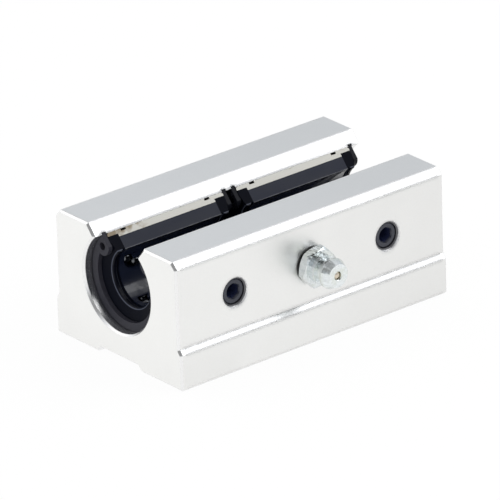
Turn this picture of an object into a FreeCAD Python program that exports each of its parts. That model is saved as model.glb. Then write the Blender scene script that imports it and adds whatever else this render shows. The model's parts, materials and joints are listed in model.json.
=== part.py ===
import FreeCAD, Part
import math
import os
import re

import Sketcher
from FreeCAD import Placement, Rotation, Vector

# Open twin bearing block for a supported round rail.
#
# Frame: +X along the rail, +Z out through the rail slot, -Y towards the grease nipple.
# The origin is the centre of the four mounting holes, on the mounting face.
# All sizes are in millimetres and degrees.

SIZES = {
    # Housing, a length of extruded section
    "block_length": 70.0,
    "block_height": 27.6,
    "flange_width": 40.0,
    "flange_edge_height": 7.85,
    "ledge_rise": 1.05,
    "body_inset": 0.8,
    "top_chamfer": 1.45,
    "edge_break": 0.45,
    "relief_width": 14.0,
    "relief_depth": 1.1,
    "bore_height": 17.0,
    "slot_angle": 80.0,
    # Threaded mounting holes in the underside, at their nominal diameter
    "mounting_end_inset": 10.0,
    "mounting_side_inset": 6.0,
    "mounting_thread": 5.0,
    "mounting_depth": 12.0,
    "mounting_chamfer": 0.3,
    "drill_point_angle": 118.0,
    "countersink_angle": 90.0,
    # Bearing: sleeve, cage, balls and seals
    "shaft_diameter": 12.0,
    "bearing_recess": 3.25,
    "bearing_gap": 3.5,
    "bearing_fit": 0.02,
    "sleeve_wall": 1.45,
    "sleeve_edge_break": 0.35,
    "snap_groove_width": 1.3,
    "snap_groove_depth": 0.5,
    "snap_groove_inset": 3.5,
    "raceway_width": 1.4,
    "raceway_clearance": 0.01,
    "cage_fit": 0.03,
    "cage_shaft_clearance": 0.2,
    "cage_end_wall": 0.9,
    "cage_island": 0.9,
    "ball_diameter": 2.381,
    "ball_spacing": 0.02,
    "ball_retention": 0.09,
    "return_lift": 0.669,
    "return_clearance": 0.035,
    "circuit_step": 90.0,
    "track_clearance": 0.11,
    "track_floor_clearance": 0.03,
    "return_floor_share": 0.55,
    "seal_width": 2.5,
    "seal_seat_depth": 0.65,
    "seal_fit": 0.02,
    "seal_rim": 1.2,
    "seal_dish": 0.6,
    "seal_lip_width": 0.9,
    "seal_lip_bevel": 0.3,
    "seal_relief": 0.5,
    # Internal retaining rings
    "ring_thickness": 1.0,
    "ring_groove_clearance": 0.1,
    "ring_groove_depth": 0.5,
    "ring_fit": 0.05,
    "ring_section": 2.25,
    "ring_setback": 1.0,
    "lug_radius": 2.0,
    "lug_inset": 0.1,
    "lug_setback": 12.0,
    "lug_hole_diameter": 1.7,
    # Set screws that bear on the sleeves
    "screw_inset": 15.0,
    "screw_diameter": 6.0,
    "screw_recess": 0.7,
    "screw_end_chamfer": 0.7,
    "screw_cup_diameter": 3.0,
    "screw_cup_depth": 0.8,
    "screw_countersink": 0.3,
    "socket_width": 3.0,
    "socket_depth": 3.5,
    "socket_bevel": 0.25,
    # Grease nipple with its check ball and spring
    "thread_fit": 0.03,
    "nipple_thread": 6.0,
    "nipple_shank": 5.6,
    "nipple_gap": 0.5,
    "nipple_hex": 7.8,
    "nipple_hex_height": 2.2,
    "nipple_hex_turn": 12.0,
    "nipple_hex_bevel": 0.15,
    "nipple_bevel_angle": 35.0,
    "nipple_collar": 6.2,
    "nipple_collar_length": 1.4,
    "nipple_neck": 5.0,
    "nipple_neck_length": 1.2,
    "nipple_head": 6.5,
    "nipple_head_rise": 0.7,
    "nipple_head_land": 0.45,
    "nipple_head_cone": 1.65,
    "nipple_face": 5.0,
    "nipple_mouth": 1.7,
    "nipple_mouth_length": 0.6,
    "nipple_exit": 1.3,
    "nipple_stake": 0.5,
    "grease_port": 3.0,
    "check_ball": 2.0,
    "chamber_clearance": 0.15,
    "check_ball_clearance": 0.01,
    "spring_diameter": 1.75,
    "spring_wire": 0.24,
    "spring_turns": 9.0,
}

# Formulas that more than one piece needs
WALL = "(flange_width / 2 - body_inset)"
SLEEVE_END = "(block_length / 2 - bearing_recess)"
BEARING_LENGTH = f"({SLEEVE_END} - bearing_gap / 2)"
BEARING_CENTRE = f"(({SLEEVE_END} + bearing_gap / 2) / 2)"
SLEEVE_BORE_RADIUS = "(shaft_diameter / 2 + ball_diameter + return_lift)"
BEARING_RADIUS = f"({SLEEVE_BORE_RADIUS} + sleeve_wall)"
SLEEVE_RADIUS = f"({BEARING_RADIUS} - bearing_fit)"
SEAL_SEAT_RADIUS = f"({SLEEVE_BORE_RADIUS} + seal_seat_depth)"
CAGE_RADIUS = f"({SLEEVE_BORE_RADIUS} - cage_fit)"
CAGE_BORE_RADIUS = "(shaft_diameter / 2 + cage_shaft_clearance)"
CAGE_HALF_LENGTH = f"({BEARING_LENGTH} / 2 - seal_width)"
TRACK_WIDTH = "(ball_diameter + 2 * track_clearance)"
SLOT_WIDTH = "(ball_diameter - 2 * ball_retention)"
ROW_OFFSET = f"(({TRACK_WIDTH} + cage_island) / 2)"
CIRCUIT_HALF_STRAIGHT = f"({CAGE_HALF_LENGTH} - cage_end_wall - {ROW_OFFSET} - {TRACK_WIDTH} / 2)"
LOAD_RADIUS = "(shaft_diameter / 2 + ball_diameter / 2)"
RETURN_RADIUS = f"({SLEEVE_BORE_RADIUS} - ball_diameter / 2 - return_clearance)"
LOAD_ANGLE = f"asin({ROW_OFFSET} / {LOAD_RADIUS})"
RETURN_DEPTH = f"sqrt({RETURN_RADIUS}^2 - {ROW_OFFSET}^2)"
TRACK_FLOOR = f"({RETURN_DEPTH} - ball_diameter / 2 - track_floor_clearance)"
RACEWAY_RADIUS = "(shaft_diameter / 2 + ball_diameter + raceway_clearance)"
RING_GROOVE_RADIUS = f"({BEARING_RADIUS} + ring_groove_depth)"
RING_GROOVE_WIDTH = "(ring_thickness + ring_groove_clearance)"
SCREW_CENTRE = "(block_length / 2 - screw_inset)"
SCREW_OUTER_END = f"({WALL} - screw_recess)"
SCREW_LENGTH = f"({SCREW_OUTER_END} - {BEARING_RADIUS})"
NIPPLE_HEX_END = "(nipple_gap + nipple_hex_height)"
NIPPLE_COLLAR_END = f"({NIPPLE_HEX_END} + nipple_collar_length)"
NIPPLE_NECK_END = f"({NIPPLE_COLLAR_END} + nipple_neck_length)"
NIPPLE_LAND_START = f"({NIPPLE_NECK_END} + nipple_head_rise)"
NIPPLE_LAND_END = f"({NIPPLE_LAND_START} + nipple_head_land)"
NIPPLE_END = f"({NIPPLE_LAND_END} + nipple_head_cone)"
CHAMBER_RADIUS = "(check_ball / 2 + chamber_clearance)"
BALL_FROM_FACE = (
    "(nipple_mouth_length + sqrt((check_ball / 2)^2 - (nipple_mouth / 2)^2) + check_ball_clearance)"
)
# Distance from the ball's centre to the plane of the first coil that touches its back
BALL_TO_COIL = (
    "(sqrt((check_ball / 2 + spring_wire / 2)^2 - (spring_diameter / 2 - spring_wire / 2)^2)"
    " + check_ball_clearance)"
)

doc = FreeCAD.newDocument("BearingBlock")
sheet = doc.addObject("Spreadsheet::Sheet", "Sizes")
for row, (alias, size) in enumerate(SIZES.items(), start=1):
    sheet.set(f"A{row}", alias.replace("_", " "))
    sheet.set(f"B{row}", str(size))
    sheet.setAlias(f"B{row}", alias)
doc.recompute()


def formula(text):
    """The text with each size's name turned into a reference to the sheet."""
    return re.sub(r"[a-z_]+", lambda word: f"Sizes.{word[0]}" if word[0] in SIZES else word[0], text)


def number(text):
    """What a formula comes to with the sheet's present sizes."""
    result = sheet.evalExpression(formula(text))
    return float(getattr(result, "Value", result))


def bind(thing, **formulas):
    """Ties properties of a document object to the sheet. A double underscore stands for a dot."""
    for name, text in formulas.items():
        thing.setExpression(name.replace("__", "."), formula(text))


def new_body(label, x="0", y="0", z="0", turned=0):
    """A body at a place given by formulas, turned about +Z by a fixed angle."""
    body = doc.addObject("PartDesign::Body", label)
    body.Label = label
    body.Placement = Placement(Vector(number(x), number(y), number(z)), Rotation(Vector(0, 0, 1), turned))
    bind(body, Placement__Base__x=x, Placement__Base__y=y, Placement__Base__z=z)
    return body


def origin_feature(body, role):
    """One of the body's own origin planes or axes."""
    return next(item for item in body.Origin.OriginFeatures if item.Role == role)


def new_sketch(body, name, plane, **offset):
    """A sketch on one of the body's origin planes, shifted by formulas in the sketch's own x, y and z."""
    sketch = body.newObject("Sketcher::SketchObject", name)
    sketch.AttachmentSupport = (origin_feature(body, plane), [""])
    sketch.MapMode = "FlatFace"
    for axis, text in offset.items():
        bind(sketch, **{f"AttachmentOffset__Base__{axis}": text})
    return sketch


def fix_point(sketch, geometry, end, x, y):
    """Holds a point of the sketch at formulas measured from the sketch's origin."""
    for kind, axis, text in (("DistanceX", -2, x), ("DistanceY", -1, y)):
        if text == "0":
            sketch.addConstraint(Sketcher.Constraint("PointOnObject", geometry, end, axis))
            continue
        index = sketch.addConstraint(
            Sketcher.Constraint(kind, -1, 1, geometry, end, number(text))
        )
        sketch.setExpression(f"Constraints[{index}]", formula(text))


def polygon(sketch, corners):
    """A closed polygon whose corners are pairs of formulas."""
    points = [Vector(number(x), number(y), 0) for x, y in corners]
    first = sketch.GeometryCount
    for start, end in zip(points, points[1:] + points[:1]):
        sketch.addGeometry(Part.LineSegment(start, end), False)
    for side, (x, y) in enumerate(corners):
        following = (side + 1) % len(corners)
        sketch.addConstraint(Sketcher.Constraint("Coincident", first + side, 2, first + following, 1))
        fix_point(sketch, first + side, 1, x, y)


def rectangle(sketch, low_x, high_x, low_y, high_y):
    """A rectangle between formulas for its sides."""
    polygon(sketch, [(low_x, low_y), (high_x, low_y), (high_x, high_y), (low_x, high_y)])


def circle(sketch, x, y, diameter):
    """A circle with its centre and diameter given by formulas."""
    centre = Vector(number(x), number(y), 0)
    index = sketch.addGeometry(Part.Circle(centre, Vector(0, 0, 1), number(diameter) / 2), False)
    fix_point(sketch, index, 3, x, y)
    size = sketch.addConstraint(Sketcher.Constraint("Diameter", index, number(diameter)))
    sketch.setExpression(f"Constraints[{size}]", formula(diameter))


def stadium(sketch, half_length, radius):
    """A slot outline along the sketch's x axis: two half circles joined by straight sides."""
    arcs = []
    for side, start_angle in ((1, -90), (-1, 90)):
        ring = Part.Circle(Vector(side * number(half_length), 0, 0), Vector(0, 0, 1), number(radius))
        start = math.radians(start_angle)
        arc = sketch.addGeometry(Part.ArcOfCircle(ring, start, start + math.pi), False)
        fix_point(sketch, arc, 3, half_length if side > 0 else f"-{half_length}", "0")
        size = sketch.addConstraint(Sketcher.Constraint("Radius", arc, number(radius)))
        sketch.setExpression(f"Constraints[{size}]", formula(radius))
        for end in (1, 2):
            sketch.addConstraint(Sketcher.Constraint("Vertical", arc, 3, arc, end))
        arcs.append(arc)
    for here, there in (arcs, arcs[::-1]):
        start = sketch.getPoint(here, 2)
        end = sketch.getPoint(there, 1)
        side = sketch.addGeometry(Part.LineSegment(start, end), False)
        sketch.addConstraint(Sketcher.Constraint("Coincident", side, 1, here, 2))
        sketch.addConstraint(Sketcher.Constraint("Coincident", side, 2, there, 1))


def hexagon(sketch, width, turned="0"):
    """A regular hexagon by its width across flats, turned by a formula in degrees."""
    corner = f"{width} / sqrt(3)"
    angles = [f"({turned} + {60 * side})" for side in range(6)]
    polygon(sketch, [(f"{corner} * cos({angle})", f"{corner} * sin({angle})") for angle in angles])


def extrude(body, kind, name, sketch, length=None, both_ways=False, backwards=False):
    """A Pad or a Pocket of a sketch. With no length it goes through all."""
    feature = body.newObject(f"PartDesign::{kind}", name)
    feature.Profile = sketch
    feature.SideType = "Symmetric" if both_ways else "One side"
    feature.Reversed = backwards
    if length is None:
        feature.Type = "ThroughAll"
    else:
        bind(feature, Length=length)
    return feature


def revolve(body, kind, name, sketch, axis, angle=None):
    """A Revolution or a Groove of a sketch about one of its axes, whole or equally to both sides."""
    feature = body.newObject(f"PartDesign::{kind}", name)
    feature.Profile = sketch
    feature.ReferenceAxis = (sketch, [axis])
    feature.Angle = 360
    if angle is not None:
        feature.Midplane = True
        bind(feature, Angle=angle)
    return feature


def drill(body, name, sketch, diameter, depth, countersink, backwards=False):
    """A drilled and countersunk hole at each circle of a sketch. It needs its base worked out first."""
    doc.recompute()
    hole = body.newObject("PartDesign::Hole", name)
    hole.Profile = sketch
    doc.recompute()
    hole.Reversed = backwards
    hole.DepthType = "Dimension"
    hole.DrillPoint = "Angled"
    hole.HoleCutType = "Countersink"
    hole.HoleCutCustomValues = True
    bind(
        hole,
        Diameter=diameter,
        Depth=depth,
        DrillPointAngle="drill_point_angle",
        HoleCutDiameter=f"{diameter} + 2 * {countersink}",
        HoleCutCountersinkAngle="countersink_angle",
    )
    return hole


def both_ends(half):
    """A section that is the same at both ends, from the corners of its +x half."""
    return half + [(f"-({x})", y) for x, y in reversed(half)]


def make_housing():
    """Extruded section with the bearing bore, the rail slot, ring grooves and threaded holes."""
    body = new_body("housing")

    section = new_sketch(body, "HousingSection", "YZ_Plane")
    right_side = [
        ("relief_width / 2 - relief_depth", "relief_depth"),
        ("relief_width / 2", "0"),
        ("flange_width / 2 - edge_break", "0"),
        ("flange_width / 2", "edge_break"),
        ("flange_width / 2", "flange_edge_height"),
        (WALL, "flange_edge_height + ledge_rise"),
        (WALL, "block_height - top_chamfer"),
        (f"{WALL} - top_chamfer", "block_height"),
    ]
    polygon(section, both_ends(right_side))
    extrude(body, "Pad", "Extrusion", section, "block_length", both_ways=True)

    slot = new_sketch(body, "RailSlotSection", "YZ_Plane")
    slot_top = "(block_height + top_chamfer)"
    slot_half = f"({slot_top} - bore_height) * tan(slot_angle / 2)"
    polygon(slot, [("0", "bore_height"), (slot_half, slot_top), (f"-{slot_half}", slot_top)])
    extrude(body, "Pocket", "RailSlot", slot, both_ways=True)

    bore = new_sketch(body, "BoreSection", "YZ_Plane")
    circle(bore, "0", "bore_height", f"2 * {BEARING_RADIUS}")
    bored = extrude(body, "Pocket", "BearingBore", bore, both_ways=True)
    doc.recompute()

    ends = [
        f"Face{index}"
        for index, face in enumerate(bored.Shape.Faces, start=1)
        if abs(abs(face.normalAt(0, 0).x) - 1) < 1e-6
    ]
    broken = body.newObject("PartDesign::Chamfer", "EndEdgeBreak")
    broken.Base = (bored, ends)
    bind(broken, Size="edge_break")

    grooves = new_sketch(body, "RingGrooveSections", "XZ_Plane", y="bore_height")
    outer = (SLEEVE_END, f"{SLEEVE_END} + {RING_GROOVE_WIDTH}")
    inner = (f"bearing_gap / 2 - {RING_GROOVE_WIDTH}", "bearing_gap / 2")
    for low, high in (outer, inner):
        rectangle(grooves, low, high, "0", RING_GROOVE_RADIUS)
        rectangle(grooves, f"-({high})", f"-({low})", "0", RING_GROOVE_RADIUS)
    revolve(body, "Groove", "RingGrooves", grooves, "H_Axis")

    corners = new_sketch(body, "MountingHoleCentres", "XY_Plane")
    for x_side in ("", "-"):
        for y_side in ("", "-"):
            x = f"{x_side}(block_length / 2 - mounting_end_inset)"
            y = f"{y_side}(flange_width / 2 - mounting_side_inset)"
            circle(corners, x, y, "mounting_thread")
    drill(
        body, "MountingHoles", corners, "mounting_thread", "mounting_depth", "mounting_chamfer",
        backwards=True,
    )

    screws = new_sketch(body, "ScrewHoleCentres", "XZ_Plane", z=WALL)
    for side in ("", "-"):
        circle(screws, f"{side}{SCREW_CENTRE}", "bore_height", "screw_diameter")
    to_bore = f"{WALL} - {BEARING_RADIUS} + screw_end_chamfer"
    drill(body, "ScrewHoles", screws, "screw_diameter", to_bore, "screw_countersink")

    thread = new_sketch(body, "NippleThreadCentre", "XZ_Plane", z=WALL)
    circle(thread, "0", "bore_height", "nipple_thread")
    extrude(body, "Pocket", "NippleThread", thread, "nipple_shank + nipple_stake")

    port = new_sketch(body, "GreasePortCentre", "XZ_Plane", z=WALL)
    circle(port, "0", "bore_height", "grease_port")
    extrude(body, "Pocket", "GreasePort", port, WALL)


def make_sleeve(label, x):
    """Hardened sleeve, open towards the rail slot, with seal seats, snap grooves and raceways."""
    body = new_body(label, x=x, z="bore_height")
    section = new_sketch(body, "SleeveSection", "XZ_Plane")
    end = f"{BEARING_LENGTH} / 2"
    outside = f"-{SLEEVE_RADIUS}"
    groove_floor = f"-({BEARING_RADIUS} - snap_groove_depth)"
    groove_start = f"{end} - snap_groove_inset"
    half = [
        (CAGE_HALF_LENGTH, f"-{SLEEVE_BORE_RADIUS}"),
        (CAGE_HALF_LENGTH, f"-{SEAL_SEAT_RADIUS}"),
        (end, f"-{SEAL_SEAT_RADIUS}"),
        (end, f"-({SLEEVE_RADIUS} - sleeve_edge_break)"),
        (f"{end} - sleeve_edge_break", outside),
        (groove_start, outside),
        (groove_start, groove_floor),
        (f"{groove_start} - snap_groove_width", groove_floor),
        (f"{groove_start} - snap_groove_width", outside),
    ]
    polygon(section, both_ends(half))
    revolve(body, "Revolution", "Sleeve", section, "H_Axis", "360 - slot_angle")

    raceway = new_sketch(body, "RacewaySection", "YZ_Plane")
    half_width = "raceway_width / 2"
    inside_wall = f"{SLEEVE_BORE_RADIUS} + sleeve_wall / 2"
    rectangle(raceway, RACEWAY_RADIUS, inside_wall, f"-{half_width}", half_width)
    land = extrude(body, "Pad", "Raceway", raceway, f"2 * {CIRCUIT_HALF_STRAIGHT}", both_ways=True)
    repeat_round_axis(body, "Raceways", [land])


def repeat_round_axis(body, name, features):
    """Repeats features of the side circuit for the bottom and the opposite side circuit."""
    pattern = body.newObject("PartDesign::PolarPattern", name)
    pattern.Originals = features
    pattern.Axis = (origin_feature(body, "X_Axis"), [""])
    pattern.Reversed = True
    pattern.Occurrences = 3
    bind(pattern, Angle="2 * circuit_step")
    body.Tip = pattern


def circuit_sketch(body, name, distance):
    """A sketch facing the middle of the side ball circuit, at a distance from the bearing's axis.

    Its x axis runs along the bearing and its y axis points towards the loaded row.
    """
    sketch = new_sketch(body, name, "XY_Plane")
    tilt = f"(90deg - {LOAD_ANGLE})"
    sketch.AttachmentOffset = Placement(Vector(0, 0, 0), Rotation(Vector(-1, 0, 0), number(tilt)))
    bind(
        sketch,
        AttachmentOffset__Rotation__Angle=tilt,
        AttachmentOffset__Base__y=f"{distance} * sin({tilt})",
        AttachmentOffset__Base__z=f"{distance} * cos({tilt})",
    )
    return sketch


def make_cage(label, x):
    """Moulded cage with three closed ball tracks, open to the shaft along the loaded rows and turns."""
    body = new_body(label, x=x, z="bore_height")
    section = new_sketch(body, "CageSection", "XZ_Plane")
    rectangle(section, f"-{CAGE_HALF_LENGTH}", CAGE_HALF_LENGTH, f"-{CAGE_RADIUS}", "-shaft_diameter / 2")
    revolve(body, "Revolution", "Cage", section, "H_Axis", "360 - slot_angle")

    slot = circuit_sketch(body, "BallSlotOutline", BEARING_RADIUS)
    track = circuit_sketch(body, "BallTrackOutline", BEARING_RADIUS)
    for sketch, width in ((slot, SLOT_WIDTH), (track, TRACK_WIDTH)):
        stadium(sketch, CIRCUIT_HALF_STRAIGHT, f"({ROW_OFFSET} + {width} / 2)")
        stadium(sketch, CIRCUIT_HALF_STRAIGHT, f"({ROW_OFFSET} - {width} / 2)")
    inside_shaft = "shaft_diameter / 4"
    slots = extrude(body, "Pocket", "BallSlot", slot, f"{BEARING_RADIUS} - {inside_shaft}")
    tracks = extrude(body, "Pocket", "BallTrack", track, f"{BEARING_RADIUS} - {TRACK_FLOOR}")

    floor = circuit_sketch(body, "ReturnFloorOutline", TRACK_FLOOR)
    far_side = f"-({ROW_OFFSET} + {TRACK_WIDTH} / 2)"
    near_side = f"-{ROW_OFFSET} * return_floor_share"
    reach = f"({CIRCUIT_HALF_STRAIGHT} + {ROW_OFFSET} + {TRACK_WIDTH} / 2)"
    polygon(floor, both_ends([
        (reach, far_side),
        (reach, near_side),
        (CIRCUIT_HALF_STRAIGHT, near_side),
        (CIRCUIT_HALF_STRAIGHT, "0"),
    ]))
    floors = extrude(body, "Pad", "ReturnFloor", floor, "ball_diameter / 2", backwards=True)
    repeat_round_axis(body, "BallCircuits", [slots, tracks, floors])

    bore = new_sketch(body, "CageBoreSection", "YZ_Plane")
    circle(bore, "0", "0", f"2 * {CAGE_BORE_RADIUS}")
    extrude(body, "Pocket", "CageBore", bore, both_ways=True)


def make_seal(label, x, turned):
    """End seal with a dished face, open towards the rail slot. It reaches inwards from local x = 0."""
    body = new_body(label, x=x, z="bore_height", turned=turned)
    section = new_sketch(body, "SealSection", "XZ_Plane")
    outside = f"({SEAL_SEAT_RADIUS} - seal_fit)"
    inside = "(seal_width - seal_fit)"
    lip = "shaft_diameter / 2"
    relief = f"-({lip} + seal_relief)"
    lip_end = "seal_dish + seal_lip_width"
    polygon(section, [
        ("0", f"-({outside} - seal_rim)"),
        ("seal_dish", f"-({lip} + seal_lip_bevel)"),
        ("seal_dish + seal_lip_bevel", f"-{lip}"),
        (lip_end, f"-{lip}"),
        (f"{lip_end} + seal_relief", relief),
        (inside, relief),
        (inside, f"-{outside}"),
        ("seal_lip_bevel", f"-{outside}"),
        ("0", f"-({outside} - seal_lip_bevel)"),
    ])
    revolve(body, "Revolution", "Seal", section, "H_Axis", "360 - slot_angle")


def circuit_path(along):
    """Where a ball's centre is, as (x, offset from the circuit's middle), a length along the circuit.

    The length starts at the middle of the loaded row.
    """
    straight = 2 * number(CIRCUIT_HALF_STRAIGHT)
    offset = number(ROW_OFFSET)
    half_turn = math.pi * offset
    along = (along + straight / 2) % (2 * (straight + half_turn))
    side = 1
    if along >= straight + half_turn:
        along -= straight + half_turn
        side = -1
    if along < straight:
        return side * (along - straight / 2), side * offset
    angle = (along - straight) / offset
    return side * (straight / 2 + offset * math.sin(angle)), side * offset * math.cos(angle)


def ball_centre(along, step):
    """A ball's centre in the bearing's frame, for a circuit a number of steps round from the side one."""
    x, offset = circuit_path(along)
    blend = offset / number(ROW_OFFSET)
    radius = (number(LOAD_RADIUS) * (1 + blend) + number(RETURN_RADIUS) * (1 - blend)) / 2
    depth = math.sqrt(radius ** 2 - offset ** 2)
    facing = Rotation(Vector(1, 0, 0), number(LOAD_ANGLE) - step * number("circuit_step"))
    return facing.multVec(Vector(x, depth, -offset))


def make_ball_circuit(label, x, step):
    """The balls of one circuit, as many as fit, spread evenly along it."""
    ball_radius = number("ball_diameter") / 2
    offset = number(ROW_OFFSET)
    length = 2 * (2 * number(CIRCUIT_HALF_STRAIGHT) + math.pi * offset)
    # The arc between two balls in a turn whose centres are one ball and the spacing apart
    closest = 2 * offset * math.asin((ball_radius + number("ball_spacing") / 2) / offset)
    count = int(length / closest)
    balls = [
        Part.makeSphere(ball_radius, ball_centre(index * length / count, step))
        for index in range(count)
    ]
    circuit = doc.addObject("Part::Feature", label)
    circuit.Label = label
    circuit.Shape = Part.makeCompound(balls)
    circuit.Placement = Placement(Vector(number(x), 0, number("bore_height")), Rotation())
    bind(circuit, Placement__Base__x=x, Placement__Base__z="bore_height")


def make_retaining_ring(label, x):
    """Internal retaining ring with plier lugs. Its gap faces the rail slot."""
    body = new_body(label, x=x, z="bore_height")
    radius = f"({RING_GROOVE_RADIUS} - ring_fit)"
    blank = new_sketch(body, "RingOutside", "YZ_Plane")
    circle(blank, "0", "0", f"2 * {radius}")
    extrude(body, "Pad", "Ring", blank, "ring_thickness")

    inside = new_sketch(body, "RingInside", "YZ_Plane")
    circle(inside, "0", "0", f"2 * ({radius} - ring_section)")
    extrude(body, "Pocket", "RingBore", inside, backwards=True)

    pitch_radius = f"({radius} - lug_inset - lug_radius)"
    lug_angle = "(slot_angle / 2 + lug_setback)"
    for side, name in ((1, "Left"), (-1, "Right")):
        y = f"{side} * {pitch_radius} * sin({lug_angle})"
        z = f"{pitch_radius} * cos({lug_angle})"
        lug = new_sketch(body, f"{name}LugOutline", "YZ_Plane")
        circle(lug, y, z, "2 * lug_radius")
        extrude(body, "Pad", f"{name}Lug", lug, "ring_thickness")
        hole = new_sketch(body, f"{name}HoleOutline", "YZ_Plane")
        circle(hole, y, z, "lug_hole_diameter")
        extrude(body, "Pocket", f"{name}Hole", hole, backwards=True)

    gap = new_sketch(body, "GapOutline", "YZ_Plane")
    top = f"2 * {radius}"
    half_width = f"{top} * tan(slot_angle / 2 + ring_setback)"
    polygon(gap, [("0", "0"), (half_width, top), (f"-{half_width}", top)])
    extrude(body, "Pocket", "Gap", gap, backwards=True)


def make_set_screw(label, x):
    """Socket set screw with a cup point. Its outer end is at local y = 0 and it points along +Y."""
    body = new_body(label, x=x, y=f"-{SCREW_OUTER_END}", z="bore_height")
    section = new_sketch(body, "ScrewSection", "XY_Plane")
    radius = "(screw_diameter / 2 - thread_fit)"
    polygon(section, [
        ("0", "socket_bevel"),
        ("socket_width / 2", "socket_bevel"),
        ("socket_width / 2 + socket_bevel", "0"),
        (f"{radius} - screw_end_chamfer", "0"),
        (radius, "screw_end_chamfer"),
        (radius, f"{SCREW_LENGTH} - screw_end_chamfer"),
        (f"{radius} - screw_end_chamfer", SCREW_LENGTH),
        ("screw_cup_diameter / 2", SCREW_LENGTH),
        ("0", f"{SCREW_LENGTH} - screw_cup_depth"),
    ])
    revolve(body, "Revolution", "Screw", section, "V_Axis")

    socket = new_sketch(body, "SocketOutline", "XZ_Plane")
    hexagon(socket, "socket_width")
    extrude(body, "Pocket", "Socket", socket, "socket_depth")


def make_nipple():
    """Straight grease nipple: hexagon, collar, neck and head, with a passage for the check valve.

    The hexagon stands a little off the wall, because the nipple is tight in its thread first.
    """
    body = new_body("grease_nipple_body", y=f"-{WALL}", z="bore_height")
    flats = new_sketch(body, "HexagonOutline", "XZ_Plane")
    hexagon(flats, "nipple_hex", "nipple_hex_turn")
    extrude(body, "Pad", "Hexagon", flats, NIPPLE_HEX_END)

    bevel = new_sketch(body, "HexagonBevels", "XY_Plane")
    shank = "(nipple_thread / 2 - thread_fit)"
    start = "(nipple_hex / 2 - nipple_hex_bevel)"
    past_corner = "nipple_hex / 6"
    rise = f"{past_corner} * tan(nipple_bevel_angle)"
    polygon(bevel, [
        (start, f"-{NIPPLE_HEX_END}"),
        (f"{start} + {past_corner}", f"-{NIPPLE_HEX_END} + {rise}"),
        (f"{start} + {past_corner}", f"-{NIPPLE_HEX_END} - nipple_hex_bevel"),
        (start, f"-{NIPPLE_HEX_END} - nipple_hex_bevel"),
    ])
    polygon(bevel, [
        (shank, "-nipple_gap"),
        (shank, "nipple_hex_bevel"),
        (f"{start} + {past_corner}", "nipple_hex_bevel"),
        (f"{start} + {past_corner}", f"-nipple_gap - {rise}"),
        (start, "-nipple_gap"),
    ])
    revolve(body, "Groove", "Bevels", bevel, "V_Axis")

    stem = new_sketch(body, "StemSection", "XY_Plane")
    polygon(stem, [
        ("0", f"-{NIPPLE_END}"),
        ("nipple_face / 2", f"-{NIPPLE_END}"),
        ("nipple_head / 2", f"-{NIPPLE_LAND_END}"),
        ("nipple_head / 2", f"-{NIPPLE_LAND_START}"),
        ("nipple_neck / 2", f"-{NIPPLE_NECK_END}"),
        ("nipple_neck / 2", f"-{NIPPLE_COLLAR_END}"),
        ("nipple_collar / 2", f"-{NIPPLE_COLLAR_END}"),
        ("nipple_collar / 2", f"-{NIPPLE_HEX_END} + nipple_hex_bevel"),
        (shank, "-nipple_gap - nipple_hex_bevel"),
        (shank, "nipple_shank - nipple_stake"),
        (f"{shank} - nipple_stake", "nipple_shank"),
        ("0", "nipple_shank"),
    ])
    revolve(body, "Revolution", "Stem", stem, "V_Axis")

    passage = new_sketch(body, "PassageSection", "XY_Plane")
    seat_start = f"-({NIPPLE_END} - nipple_mouth_length)"
    seat_end = f"{seat_start} + {CHAMBER_RADIUS} - nipple_mouth / 2"
    polygon(passage, [
        ("0", f"-{NIPPLE_END} - nipple_hex_bevel"),
        ("nipple_mouth / 2 + 2 * nipple_hex_bevel", f"-{NIPPLE_END} - nipple_hex_bevel"),
        ("nipple_mouth / 2", f"-{NIPPLE_END} + nipple_hex_bevel"),
        ("nipple_mouth / 2", seat_start),
        (CHAMBER_RADIUS, seat_end),
        (CHAMBER_RADIUS, "nipple_shank - nipple_stake"),
        ("nipple_exit / 2", "nipple_shank - nipple_stake"),
        ("nipple_exit / 2", "nipple_shank + nipple_stake"),
        ("0", "nipple_shank + nipple_stake"),
    ])
    revolve(body, "Groove", "Passage", passage, "V_Axis")


def make_check_valve():
    """Check ball behind the nipple's mouth, and the spring that holds it there."""
    ball_y = f"(-{WALL} - {NIPPLE_END} + {BALL_FROM_FACE})"
    ball = doc.addObject("Part::Sphere", "nipple_check_ball")
    ball.Label = "nipple_check_ball"
    bind(ball, Radius="check_ball / 2", Placement__Base__y=ball_y, Placement__Base__z="bore_height")

    first_coil = f"({ball_y} + {BALL_TO_COIL})"
    last_coil = f"(-{WALL} + nipple_shank - nipple_stake - spring_wire / 2 - check_ball_clearance)"
    body = new_body("nipple_spring", y=first_coil, z="bore_height")
    wire = new_sketch(body, "WireSection", "XY_Plane")
    circle(wire, "spring_diameter / 2 - spring_wire / 2", "0", "spring_wire")
    coil = body.newObject("PartDesign::AdditiveHelix", "Coil")
    coil.Profile = wire
    coil.ReferenceAxis = (wire, ["V_Axis"])
    coil.Mode = "height-turns-angle"
    bind(coil, Height=f"{last_coil} - {first_coil}", Turns="spring_turns")


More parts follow.
